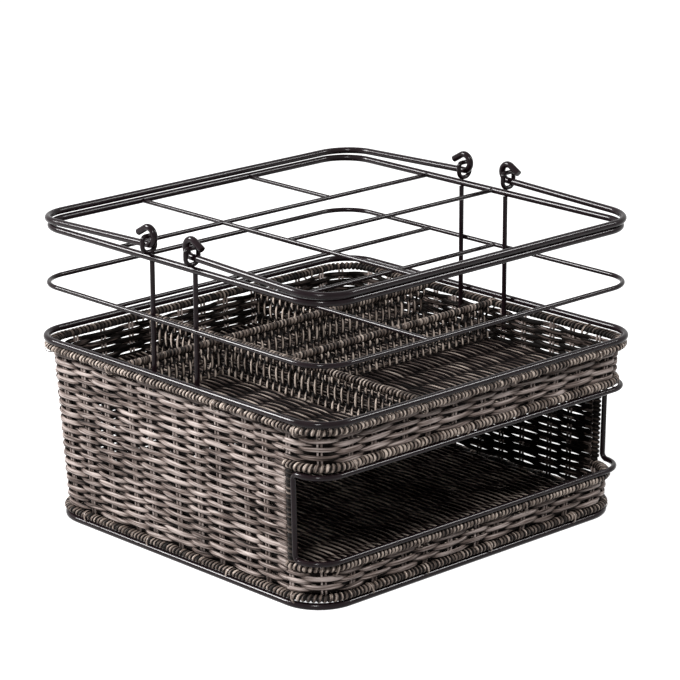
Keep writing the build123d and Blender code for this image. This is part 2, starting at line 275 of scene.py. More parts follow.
def linear(code: str) -> tuple[float, float, float, float]:
    """Linear colour of an sRGB hex code.

    Each channel c becomes c / 12.92 under 0.04045 and ((c + 0.055) / 1.055) ** 2.4 above it.
    """
    channels = [int(code[i : i + 2], 16) / 255 for i in (1, 3, 5)]
    return tuple([c / 12.92 if c <= 0.04045 else ((c + 0.055) / 1.055) ** 2.4 for c in channels] + [1.0])


def add_node(tree: bpy.types.NodeTree, kind: str, sockets: dict | None = None, **settings) -> bpy.types.Node:
    """Adds one node with its settings, its socket values and its links.

    Args:
        tree: the node tree.
        kind: type of the node.
        sockets: input name or number to a value, or to an output socket that feeds it.
        settings: properties of the node itself; "ramp" gives stops of a colour ramp as (place, hex code).

    Returns:
        The new node.
    """
    node = tree.nodes.new(kind)
    stops = settings.pop("ramp", ())
    for _ in stops[2:]:
        node.color_ramp.elements.new(0.5)
    for i, (place, code) in enumerate(stops):
        node.color_ramp.elements[i].position = place
        node.color_ramp.elements[i].color = linear(code)
    for key, value in settings.items():
        setattr(node, key, value)
    for key, value in (sockets or {}).items():
        if isinstance(value, bpy.types.NodeSocket):
            tree.links.new(value, node.inputs[key])
        else:
            node.inputs[key].default_value = value
    return node


def new_material(name: str) -> bpy.types.Material:
    """Empty node material with that name."""
    material = bpy.data.materials.new(name)
    material.use_nodes = True
    material.node_tree.nodes.clear()
    return material


@dataclass(frozen=True)
class WickerStrand:
    """Rattan cane, drawn round, stained dark brown and varnished, with fine lengthwise fibres.

    Varnish has an IOR of about 1.5 and would reflect more than this does. The specular level is set low,
    because a full one mirrors the white surround and turns the dark hollows grey. So most of the
    contrast between hollows and crests is in the colour, through the tone, and only a little is reflection.
    """

    name: str
    deep: str
    body: str
    light: str
    roughness: float
    shine: float

    def build(self) -> bpy.types.Material:
        """Makes the material.

        Returns:
            Material whose colour comes from the strand's tone and streaks along its run.
        """
        material = new_material(self.name)
        tree = material.node_tree
        run = add_node(tree, "ShaderNodeAttribute", attribute_name="run").outputs["Vector"]
        tone = add_node(tree, "ShaderNodeAttribute", attribute_name="tone").outputs["Fac"]
        # cane fibres: about 1 mm apart across the strand, 20 mm long
        stretch = add_node(
            tree, "ShaderNodeMapping", {"Vector": run, "Scale": (0.05, 0.9, 0.9)}, vector_type="POINT"
        ).outputs[0]
        streak = add_node(
            tree, "ShaderNodeTexNoise", {"Vector": stretch, "Scale": 1.0, "Detail": 3.0}
        ).outputs[0]
        # slow change of shade along a strand, about 40 mm
        drift = add_node(
            tree, "ShaderNodeTexNoise", {"Vector": run, "Scale": 0.025, "Detail": 1.0}
        ).outputs[0]
        # place on the colour ramp: 1.7 streak + 0.3 drift + 0.7 tone - 0.9
        mixed: float | bpy.types.NodeSocket = -0.9
        for part, share in ((streak, 1.7), (drift, 0.3), (tone, 0.7)):
            mixed = add_node(
                tree, "ShaderNodeMath", {0: part, 1: share, 2: mixed}, operation="MULTIPLY_ADD"
            ).outputs[0]
        colour = add_node(
            tree,
            "ShaderNodeValToRGB",
            {"Fac": mixed},
            ramp=((0.12, self.deep), (0.5, self.body), (0.88, self.light)),
        ).outputs[0]
        # hollows are rougher than crests
        rough = add_node(
            tree,
            "ShaderNodeMapRange",
            {"Value": mixed, "From Min": 0.1, "From Max": 0.6, "To Min": 0.7, "To Max": self.roughness},
        ).outputs[0]
        bump = add_node(
            tree, "ShaderNodeBump", {"Height": streak, "Strength": 0.35, "Distance": 0.00012}
        ).outputs[0]
        shader = add_node(
            tree,
            "ShaderNodeBsdfPrincipled",
            {
                "Base Color": colour,
                "Roughness": rough,
                "Normal": bump,
                "IOR": 1.5,
                "Specular IOR Level": self.shine,
            },
        )
        add_node(tree, "ShaderNodeOutputMaterial", {"Surface": shader.outputs[0]})
        return material


@dataclass(frozen=True)
class CoatedWire:
    """Powder-coated steel wire: near-black brown paint, half-gloss, with a fine orange-peel skin.

    The baked coat has an IOR of about 1.5. Its specular level is low, so that the wire stays near black
    against a white surround and only the lamps show as narrow highlights.
    """

    name: str
    dark: str
    pale: str
    roughness: float = 0.15
    shine: float = 0.12

    def build(self) -> bpy.types.Material:
        """Makes the material.

        Returns:
            Material on object coordinates, the same on every wire.
        """
        material = new_material(self.name)
        tree = material.node_tree
        place = add_node(tree, "ShaderNodeTexCoord").outputs["Object"]
        # handling haze: patches about 12 mm wide
        haze = add_node(
            tree, "ShaderNodeTexNoise", {"Vector": place, "Scale": 85.0, "Detail": 3.0}
        ).outputs[0]
        # orange peel of the baked powder: 0.8 mm across
        peel = add_node(
            tree, "ShaderNodeTexNoise", {"Vector": place, "Scale": 1250.0, "Detail": 1.0}
        ).outputs[0]
        colour = add_node(
            tree, "ShaderNodeValToRGB", {"Fac": haze}, ramp=((0.3, self.dark), (0.75, self.pale))
        ).outputs[0]
        rough = add_node(
            tree,
            "ShaderNodeMapRange",
            {"Value": haze, "To Min": self.roughness - 0.05, "To Max": self.roughness + 0.08},
        ).outputs[0]
        bump = add_node(
            tree, "ShaderNodeBump", {"Height": peel, "Strength": 0.25, "Distance": 0.00006}
        ).outputs[0]
        shader = add_node(
            tree,
            "ShaderNodeBsdfPrincipled",
            {
                "Base Color": colour,
                "Roughness": rough,
                "Normal": bump,
                "IOR": 1.5,
                "Specular IOR Level": self.shine,
            },
        )
        add_node(tree, "ShaderNodeOutputMaterial", {"Surface": shader.outputs[0]})
        return material


# ---------------------------------------------------------------- plan of the basket


@dataclass(frozen=True)
class BasketPlan:
    """Rounded rectangle of the tapered wall, measured on its outer face, in millimetres."""

    foot_z: float = 2.25
    rim_z: float = 139.0
    foot: tuple[float, float, float] = (156.7, 147.2, 31.0)
    rim: tuple[float, float, float] = (160.2, 154.2, 26.0)

    def at(self, z: float | Array) -> tuple[Array, Array, Array]:
        """Half length, half depth and corner radius at height z, straight between foot and rim."""
        t = (np.asarray(z, float) - self.foot_z) / (self.rim_z - self.foot_z)
        return tuple(a + (b - a) * t for a, b in zip(self.foot, self.rim))

    @staticmethod
    def place(
        s: Array, half_x: Array, half_y: Array, corner: Array, inset: float | Array = 0.0
    ) -> tuple[Array, Array]:
        """Point and outward normal at distance s round a rounded rectangle.

        s starts at the middle of the left side and runs to the rear, so the nine stretches are half a side,
        corner, rear, corner, right side, corner, front, corner, half a side. The point is the matching point
        of the inner rectangle plus the normal times the corner radius less the inset.

        Args:
            s: strands x points, distance in millimetres.
            half_x: half length, broadcast to s.
            half_y: half depth.
            corner: corner radius.
            inset: distance inwards from the outline.

        Returns:
            Points x, y and normals x, y, each with s's shape and two columns.
        """
        half_x, half_y, corner = (np.broadcast_to(v, s.shape) for v in (half_x, half_y, corner))
        long, deep, arc = half_x - corner, half_y - corner, np.pi / 2 * corner
        lengths = np.stack([deep, arc, 2 * long, arc, 2 * deep, arc, 2 * long, arc, deep], axis=-1)
        edges = np.concatenate([np.zeros(s.shape + (1,)), np.cumsum(lengths, axis=-1)], axis=-1)
        s = np.mod(s, edges[..., -1])
        stretch = np.clip((s[..., None] >= edges[..., 1:-1]).sum(-1), 0, 8)
        start = np.take_along_axis(edges, stretch[..., None], -1)[..., 0]
        t = (s - start) / np.take_along_axis(lengths, stretch[..., None], -1)[..., 0]
        ends = np.array(
            [(-1, 0), (-1, 1), (-1, 1), (1, 1), (1, 1), (1, -1), (1, -1), (-1, -1), (-1, -1), (-1, 0)], float
        )
        # a corner stretch stays on its inner point, a side runs to the next one
        first, last = ends[stretch], ends[stretch + 1]
        inner = first + (last - first) * t[..., None]
        angles = np.radians([180.0, 180, 90, 90, 0, 0, -90, -90, -180])
        turns = np.radians([0.0, -90, 0, -90, 0, -90, 0, -90, 0])
        angle = angles[stretch] + turns[stretch] * t
        normal = np.stack([np.cos(angle), np.sin(angle)], axis=-1)
        reach = (corner - inset)[..., None]
        return inner * np.stack([long, deep], axis=-1) + normal * reach, normal

    @staticmethod
    def length(half_x: Array, half_y: Array, corner: Array) -> Array:
        """Length of the whole outline."""
        return 4 * (half_x + half_y - 2 * corner) + 2 * np.pi * corner


PLAN = BasketPlan()


# ---------------------------------------------------------------- woven walls


@dataclass
class BasketWalls:
    """Plain weave all round: level strands pass in turn outside and inside upright stakes."""

    finish: bpy.types.Material
    thickness: float = 6.5
    strand_w: float = 1.78
    strand_t: float = 0.9
    swing: float = 1.4
    stake_r: float = 0.9
    stake_apart: float = 1.5
    seam_y: float = -117.35
    edge_y: float = -120.7
    side_stakes: int = 34
    front_stakes: int = 14
    per_stake: int = 10
    uneven: float = 0.1
    lift: float = 0.36
    slow_tilt: float = 0.3
    quick_tilt: float = 0.25
    fatter: float = 0.09
    tone: float = 0.6
    tone_spread: float = 0.14
    # painted shade on the rounded edges of each strand
    edge_shade: float = 0.3
    # painted highlight on the crests and painted shade in the hollows of the weave
    relief_painted_light: float = 0.25
    # painted shade on the back face of the wall, inside the caddy
    inner_shade: float = 0.8
    stake_tone: float = 0.75
    stake_foot: float = 3.0
    stake_head: float = 1.5
    zones: tuple[tuple[float, float, int], ...] = ((11.85, 27.5, 5), (27.5, 108.6, 25), (108.6, 129.9, 7))
    seed: int = 11

    def knots(self, z: Array) -> tuple[Array, Array, Array]:
        """Distances round the outline at height z of the left edge, the right edge and the whole length."""
        whole = PLAN.length(*PLAN.at(z))
        return np.full_like(whole, self.edge_y), whole / 2 - self.edge_y, whole

    def distance(self, phase: Array, z: Array) -> Array:
        """Distance round the outline for a stake number.

        The stakes are evenly spread from edge to edge and in front, each moved by uneven x sin of its number.
        """
        left, right, whole = self.knots(z)
        side = phase / self.side_stakes
        front = (phase - self.side_stakes) / self.front_stakes
        uneven = self.uneven * np.sin(2 * np.pi * 13 * side)
        side = left + (right - left) * (side + uneven / self.side_stakes)
        front = right + (whole + left - right) * (front + uneven / self.front_stakes)
        return np.where(phase <= self.side_stakes, side, front)

    def phase(self, s: Array, z: Array) -> Array:
        """Stake number for a distance round the outline, the inverse of distance()."""
        left, right, whole = self.knots(z)
        side = (s - left) / (right - left) * self.side_stakes
        front = self.side_stakes + (s - right) / (whole + left - right) * self.front_stakes
        return np.where(s <= right, side, front)

    def rows(self, low: Array, high: Array, z: Array, number: Array, steps: int, free_ends: bool) -> Patch:
        """Level strands between two stake numbers.

        A strand's depth in the wall is half the thickness minus swing x tanh(1.5 cos(pi phase)) / tanh(1.5),
        with the sign turned in every other row. Its height and width wander by small slow waves.

        Args:
            low: first stake number of each row.
            high: last stake number of each row.
            z: height of each row.
            number: number of each row, which sets its side at the first stake.
            steps: points along each row.
            free_ends: whether rows turn out round the edge of the opening.

        Returns:
            The rows' surface.
        """
        share = np.linspace(0.0, 1.0, steps)[None]
        phase = low[:, None] + (high - low)[:, None] * share
        height = np.broadcast_to(z[:, None], phase.shape)
        s = self.distance(phase, height)
        sign = np.where(number % 2 == 0, 1.0, -1.0)[:, None]
        wave = np.tanh(1.5 * np.cos(np.pi * phase)) / math.tanh(1.5)
        swing = self.swing * sign * wave
        if free_ends:
            near = np.minimum(phase, self.side_stakes - phase)
            hold = np.clip((near - 0.05) / 0.5, 0.0, 1.0)
            swing = swing * hold + self.swing * (1 - hold)
        noise = [np.random.default_rng(self.seed + 97 * int(i)) for i in number]
        bump = np.stack([np.concatenate([r.uniform(0, 6.28, 6), r.uniform(-1, 1, 2)]) for r in noise])
        lift = self.lift * (np.sin(s / 9.7 + bump[:, :1]) + np.sin(s / 23.0 + bump[:, 1:2])) / 2
        tilt = self.slow_tilt * np.sin(s / 15.0 + bump[:, 2:3])
        tilt = tilt + self.quick_tilt * np.sin(s / 4.3 + bump[:, 3:4])
        fat = 1 + self.fatter * np.sin(s / 31.0 + bump[:, 4:5])
        tone = self.tone + self.tone_spread * (bump[:, 6:7] + np.sin(s / 27.0 + bump[:, 5:6]))
        half_x, half_y, corner = PLAN.at(height)
        flat, normal = PLAN.place(s, half_x, half_y, corner, self.thickness / 2 - swing)
        centre = np.concatenate([flat, (height + lift)[..., None]], axis=-1)
        normal = np.concatenate([normal, np.zeros(normal.shape[:-1] + (1,))], axis=-1)
        across = UP + normal * tilt[..., None]
        strands = carry(
            centre,
            across,
            self.strand_w * fat,
            self.strand_t,
            tone=tone,
            power=0.6,
            edge_painted_shade=self.edge_shade,
            first_id=int(number[0]),
        )
        middle = centre - normal * swing[..., None]
        return strands.deepen(middle, normal, self.swing + self.strand_t, self.relief_painted_light, self.inner_shade)

    def stakes(self, numbers: Array, low_z: float, high_z: float, inset: float) -> Patch:
        """Upright stakes, each a pair of round strands side by side in the middle of the wall.

        Args:
            numbers: stake numbers.
            low_z: foot of the stakes.
            high_z: head of the stakes.
            inset: depth of their centre in the wall.

        Returns:
            The stakes' surface.
        """
        height = np.broadcast_to(np.linspace(low_z, high_z, 6)[None], (len(numbers), 6))
        s = self.distance(np.broadcast_to(numbers[:, None].astype(float), height.shape), height)
        patches = []
        for i, aside in enumerate((-self.stake_apart, self.stake_apart)):
            flat, normal = PLAN.place(s + aside, *PLAN.at(height), inset)
            centre = np.concatenate([flat, height[..., None]], axis=-1)
            across = np.concatenate([normal, np.zeros(normal.shape[:-1] + (1,))], axis=-1)
            pole = carry(
                centre, across, self.stake_r, self.stake_r, sides=6, tone=self.stake_tone, first_id=400 + i
            )
            patches.append(pole)
        return Patch.join(patches)

    def zone_rows(self, zone: int) -> tuple[Array, Array]:
        """Heights and numbers of the rows of one zone, evenly spread from its foot to its head."""
        low, high, count = self.zones[zone]
        before = sum(z[2] for z in self.zones[:zone])
        pitch = (high - low) / count
        return low + pitch * (np.arange(count) + 0.5), before + np.arange(count)

    def seam(self, z: Array, side: Side) -> Array:
        """Stake number where the front meets a side wall."""
        whole = self.knots(z)[2]
        s = self.seam_y if side is Side.LEFT else whole / 2 - self.seam_y
        return self.phase(s + 0 * z, z)

    def corner(self, z: Array, side: Side) -> Array:
        """Stake number at the middle of a rear corner."""
        half_x, half_y, corner = PLAN.at(z)
        middle = half_y - corner + np.pi / 4 * corner
        whole = self.knots(z)[2]
        return self.phase(middle if side is Side.LEFT else whole / 2 - middle, z)

    def build(self) -> None:
        """Makes the three walls, the band over the opening and the lip under it."""
        everywhere = [self.zone_rows(i) for i in range(3)]
        z = np.concatenate([e[0] for e in everywhere])
        number = np.concatenate([e[1] for e in everywhere])
        middle = (number >= self.zones[0][2]) & (number < self.zones[0][2] + self.zones[1][2])
        ends = {
            "left_wall": (self.seam(z, Side.LEFT), self.corner(z, Side.LEFT)),
            "rear_wall": (self.corner(z, Side.LEFT), self.corner(z, Side.RIGHT)),
            "right_wall": (self.corner(z, Side.RIGHT), self.seam(z, Side.RIGHT)),
        }
        for name, (low, high) in ends.items():
            stakes = np.arange(math.ceil(low.mean() + 0.02), math.ceil(high.mean() - 0.02))
            steps = int(round((high - low).mean() * self.per_stake)) + 1
            parts = [
                self.rows(low[part], high[part], z[part], number[part], steps, free)
                for part, free in ((middle, True), (~middle, False))
            ]
            foot, head = self.zones[0][0] - self.stake_foot, self.zones[2][1] + self.stake_head
            parts.append(self.stakes(stakes, foot, head, self.thickness / 2))
            make_piece(f"{name}_weave", Patch.join(parts), self.finish, Body.CADDY, (name,))
        for name, zone in (("front_band", 2), ("front_lip", 0)):
            z, number = everywhere[zone]
            low = self.seam(z, Side.RIGHT)
            high = self.seam(z, Side.LEFT) + self.side_stakes + self.front_stakes
            steps = int(round((high - low).mean() * self.per_stake)) + 1
            stakes = self.side_stakes + np.arange(0, self.front_stakes + 1)
            foot, head, _ = self.zones[zone]
            parts = [
                self.rows(low, high, z, number, steps, False),
                self.stakes(stakes, foot - self.stake_head, head + self.stake_head, self.thickness / 2),
            ]
            make_piece(f"{name}_weave", Patch.join(parts), self.finish, Body.CADDY, (name,))


# ---------------------------------------------------------------- wrapped bindings


WRAP_STEPS = 12  # points in one turn
WRAP_FILL = 0.41  # half width of a wound strand for each millimetre of pitch
# painted shade on the edges of each turn, which darkens the gaps between turns
WRAP_EDGE_SHADE = 0.95


def wrap(
    path: Array,
    out: Array,
    half_w: float,
    half_h: float,
    pitch: float,
    closed: bool,
    seed: int,
    shade: float = 0.0,
    inner: float = 0.0,
    strand_t: float = 1.25,
) -> Patch:
    """A strand wound tightly round an oval core.

    The core's line is cut into equal steps; at step i the angle q is 2 pi times the turns done so far, and
    the strand's centre is C + O (w - t) cos q + U (h - t) sin q, with O the outward and U the upward axis.

    Args:
        path: points x 3, line of the core in millimetres, evenly spread.
        out: points x 3, outward axis of the core.
        half_w: half width of the finished binding.
        half_h: half height of the finished binding.
        pitch: distance between turns.
        closed: whether the core is a ring.
        seed: number for its irregularity.
        shade: how much darker the whole strand is.
        inner: painted shade, how much darker its inward face is.
        strand_t: half thickness of the strand.

    Returns:
        Core and strand in one patch.
    """
    rng = np.random.default_rng(seed)
    gaps = np.linalg.norm(np.diff(path, axis=0, append=path[:1] if closed else path[-1:]), axis=1)
    place = np.concatenate([[0.0], np.cumsum(gaps)])
    whole = place[-1] if closed else place[-2]
    turns = max(int(round(whole / pitch)), 2)
    count = turns * WRAP_STEPS + (0 if closed else 1)
    s = np.linspace(0, whole, count, endpoint=not closed)
    if closed:
        line, axis = np.vstack([path, path[:1]]), np.vstack([out, out[:1]])
    else:
        line, axis, place = path, out, place[:-1]
    centre = np.stack([np.interp(s, place, line[:, i]) for i in range(3)], axis=-1)
    outward = unit(np.stack([np.interp(s, place, axis[:, i]) for i in range(3)], axis=-1))
    round_step = np.roll(centre, -1, axis=0) - np.roll(centre, 1, axis=0)
    tangent = unit(round_step if closed else np.gradient(centre, axis=0))
    upward = unit(np.cross(outward, tangent))
    angle = 2 * np.pi * turns * s / whole + 0.35 * np.sin(2 * np.pi * s / 43.0) * (1 if not closed else 0)
    slim_w, slim_h = half_w - strand_t, half_h - strand_t
    swell = 1 + 0.02 * np.sin(s / 7.1 + rng.uniform(0, 6))
    wound = (
        centre
        + outward * (slim_w * swell * np.cos(angle))[:, None]
        + upward * (slim_h * swell * np.sin(angle))[:, None]
    )
    turn_tone = rng.uniform(0.6, 1.2, turns + 1) - shade
    turn = np.minimum((s / whole * turns).astype(int), turns)
    # the inward face of each turn gets painted shade
    tone = turn_tone[turn] - inner * np.clip(-np.cos(angle), 0, 1)
    strand = carry(
        wound[None],
        tangent[None],
        pitch * WRAP_FILL,
        strand_t,
        sides=8,
        closed=closed,
        tone=tone[None],
        edge_painted_shade=WRAP_EDGE_SHADE,
        first_id=seed,
    )
    last = -1 if closed else None
    # the core has tone 0, the darkest: painted shade in the gaps between turns
    core = carry(
        line[None, :last],
        axis[None, :last],
        slim_w,
        slim_h,
        sides=10,
        closed=closed,
        tone=0.0,
        first_id=seed + 50,
    )
    return Patch.join([core, strand])


@dataclass
class Binding:
    """Sizes of one wrapped binding on the basket's plan, in millimetres."""

    node: str
    z: float
    inset: float
    half_w: float
    half_h: float
    whole: bool
    seed: int
    shade: float = 0.0
    ties: int = 0


@dataclass
class WrappedBindings:
    """Bindings that are wound round the base, the rim and all four edges of the opening."""

    finish: bpy.types.Material
    pitch: float = 3.6
    seam_y: float = -117.35
    edge_y: float = -120.7
    tie_w: float = 0.95
    tie_t: float = 0.25
    tie_reach: float = 1.5
    tie_drop: float = 1.2
    edge_r: float = 3.25
    edge_inset: float = 2.25
    edge_low: float = 34.1
    edge_high: float = 102.0
    edge_shade: float = 0.55
    # painted shade on the inward face of the wound strands
    inner_shade: float = 0.7
    rings: tuple[Binding, ...] = (
        Binding("base_binding", 7.9, 2.2, 4.1, 2.8, True, 3, 0.3, 17),
        Binding("rim_binding", 133.3, -0.4, 4.75, 2.9, True, 5, ties=13),
        Binding("band_binding", 105.3, 2.25, 4.1, 3.1, False, 7, ties=3),
        Binding("lip_binding", 30.8, 2.25, 4.1, 3.1, False, 9, ties=4),
    )

    def ring(self, binding: Binding) -> Patch:
        """Winds one binding along the outline, all round or along the front between the seams.

        Args:
            binding: its sizes.

        Returns:
            The binding's surface.
        """
        plan = PLAN.at(binding.z)
        whole = float(BasketPlan.length(*plan))
        start, stop = (0.0, whole) if binding.whole else (whole / 2 - self.seam_y, whole + self.seam_y)
        count = 600 if binding.whole else 240
        s = np.linspace(start, stop, count, endpoint=not binding.whole)[None]
        flat, normal = BasketPlan.place(s, *plan, binding.inset)
        path = np.concatenate([flat[0], np.full((count, 1), binding.z)], axis=-1)
        out = np.concatenate([normal[0], np.zeros((count, 1))], axis=-1)
        wound = wrap(
            path,
            out,
            binding.half_w,
            binding.half_h,
            self.pitch,
            binding.whole,
            binding.seed,
            shade=binding.shade,
            inner=self.inner_shade,
        )
        return Patch.join([wound, self.lashings(binding, path, out)])

    def lashings(self, binding: Binding, path: Array, out: Array) -> Patch:
        """Ties that lash a binding to the weave: slanted loops at uneven distances.

        A loop is C - U drop + O w cos q + U (h + reach) sin q + T lean sin q, with w and h the binding's half
        sizes.

        Args:
            binding: its sizes and number of ties.
            path: points x 3, its line.
            out: points x 3, its outward axis.

        Returns:
            The ties' surface.
        """
        rng = np.random.default_rng(binding.seed + 40)
        step = len(path) // binding.ties
        aside = rng.integers(-step // 4, step // 4 + 1, binding.ties)
        place = np.arange(binding.ties) * step + step // 2 + aside
        q = 2 * np.pi * np.arange(18) / 18
        along = unit(np.gradient(path, axis=0))[place][:, None]
        wide = out[place][:, None] * (binding.half_w * np.cos(q))[None, :, None]
        high = UP * ((binding.half_h + self.tie_reach) * np.sin(q))[:, None]
        slant = along * (np.sin(q)[None] * rng.uniform(-1.6, 1.6, (binding.ties, 1)))[..., None]
        centre = path[place][:, None] - UP * self.tie_drop + wide + high + slant
        return carry(centre, along, self.tie_w, self.tie_t, closed=True, tone=0.8, edge_painted_shade=0.4, first_id=700)

    def edge(self, side: Side) -> Patch:
        """Winds the upright edge of a side wall at the opening."""
        z = np.linspace(self.edge_low, self.edge_high, 24)
        half_x = PLAN.at(z)[0] - self.edge_inset
        path = np.stack([side.value * half_x, np.full_like(z, self.edge_y), z], axis=-1)
        out = np.broadcast_to([0.0, -1.0, 0.0], path.shape)
        return wrap(path, out, self.edge_r, self.edge_r, self.pitch, False, 21 + side.value, self.edge_shade)

    def build(self) -> None:
        """Makes all the basket's bindings."""
        for binding in self.rings:
            wound = self.ring(binding)
            make_piece(f"{binding.node}_wrap", wound, self.finish, Body.CADDY, (binding.node,))
        for side in Side:
            node = f"{side.name.lower()}_edge_binding"
            make_piece(f"{node}_wrap", self.edge(side), self.finish, Body.CADDY, (node,))


# ---------------------------------------------------------------- floors


@dataclass
class WovenFloors:
    """The deck and the lower floor: strands from front to back pass over and under wires across the caddy."""

    finish: bpy.types.Material
    wall: float = 6.5
    wire_gap: float = 25.0
    pitch: float = 2.85
    half_w: float = 1.54
    half_t: float = 1.35
    wire_r: float = 0.8
    wander: float = 0.15
    tone_spread: float = 0.2
    tone_drift: float = 0.12
    # painted shade on the edges of each strand
    edge_shade: float = 1.1
    # painted highlight on the crests and painted shade in the hollows of the panel
    relief_painted_light: float = 0.9

    def panel(self, z: float, swing: float, shade: float, seed: int) -> Patch:
        """Weaves one level panel inside the wall.

        A strand at x runs between the two walls; its height is z + swing x tanh(1.2 cos(pi y / gap)) with the
        sign turned in every other strand.

        Args:
            z: height of the middle of the panel.
            swing: rise and fall of the strands.
            shade: middle tone of its strands, set apart per panel as painted light and shade.
            seed: number for its irregularity.

        Returns:
            The panel's surface.
        """
        rng = np.random.default_rng(seed)
        half_x, half_y, corner = (float(v) for v in PLAN.at(z))
        half_x, half_y, corner = half_x - self.wall, half_y - self.wall, corner - self.wall
        count = int(2 * half_x / self.pitch)
        x = (np.arange(count) - (count - 1) / 2) * (2 * half_x - self.pitch) / (count - 1)
        # a strand near a corner ends on the corner's arc
        past = np.clip(np.abs(x) - (half_x - corner), 0, corner)
        reach = half_y - corner + np.sqrt(np.maximum(corner**2 - past**2, 0))
        steps = int(2 * half_y / self.wire_gap * 8)
        y = np.linspace(-1, 1, steps)[None] * (reach[:, None] - 0.4)
        sign = np.where(np.arange(count) % 2 == 0, 1.0, -1.0)[:, None]
        wander = waves(rng, y, (61.0, 143.0), self.wander)
        rise = sign * swing * np.tanh(1.2 * np.cos(np.pi * y / self.wire_gap)) / math.tanh(1.2)
        centre = np.stack([x[:, None] + wander, y, z + rise], axis=-1)
        tone = shade + rng.uniform(-self.tone_spread, self.tone_spread, (count, 1))
        tone = tone + waves(rng, y, (70.0,), self.tone_drift)
        across = np.array([1.0, 0.0, 0.0]) + UP * waves(rng, y, (47.0,), 0.25)[..., None]
        strands = carry(
            centre, across, self.half_w, self.half_t, tone=tone, edge_painted_shade=self.edge_shade, first_id=seed
        )
        strands.deepen(centre - UP * rise[..., None], UP, swing + self.half_t, self.relief_painted_light)
        lines = int(half_y / self.wire_gap)
        wire_y = np.arange(-lines, lines + 1) * self.wire_gap
        past = np.clip(np.abs(wire_y) - (half_y - corner), 0, corner)
        reach = half_x - corner + np.sqrt(np.maximum(corner**2 - past**2, 0)) - 0.4
        ends = np.linspace(-1, 1, 9)[None] * reach[:, None]
        line = np.stack([ends, np.broadcast_to(wire_y[:, None], ends.shape), np.full_like(ends, z)], axis=-1)
        wires = carry(line, UP, self.wire_r, self.wire_r, sides=6, tone=0.1, first_id=900)
        return Patch.join([strands, wires])

    def build(self) -> None:
        """Makes both panels."""
        # the lower floor's strands are set lighter than the deck's, though both are the same strand: painted
        # light in the slot under the deck and painted shade on the deck
        panels = (("lower_floor", 8.3, 0.85, 0.4, 31), ("deck", 105.35, 1.1, 0.05, 37))
        for node, z, swing, shade, seed in panels:
            woven = self.panel(z, swing, shade, seed)
            make_piece(f"{node}_weave", woven, self.finish, Body.CADDY, (node,))


# ---------------------------------------------------------------- dividers


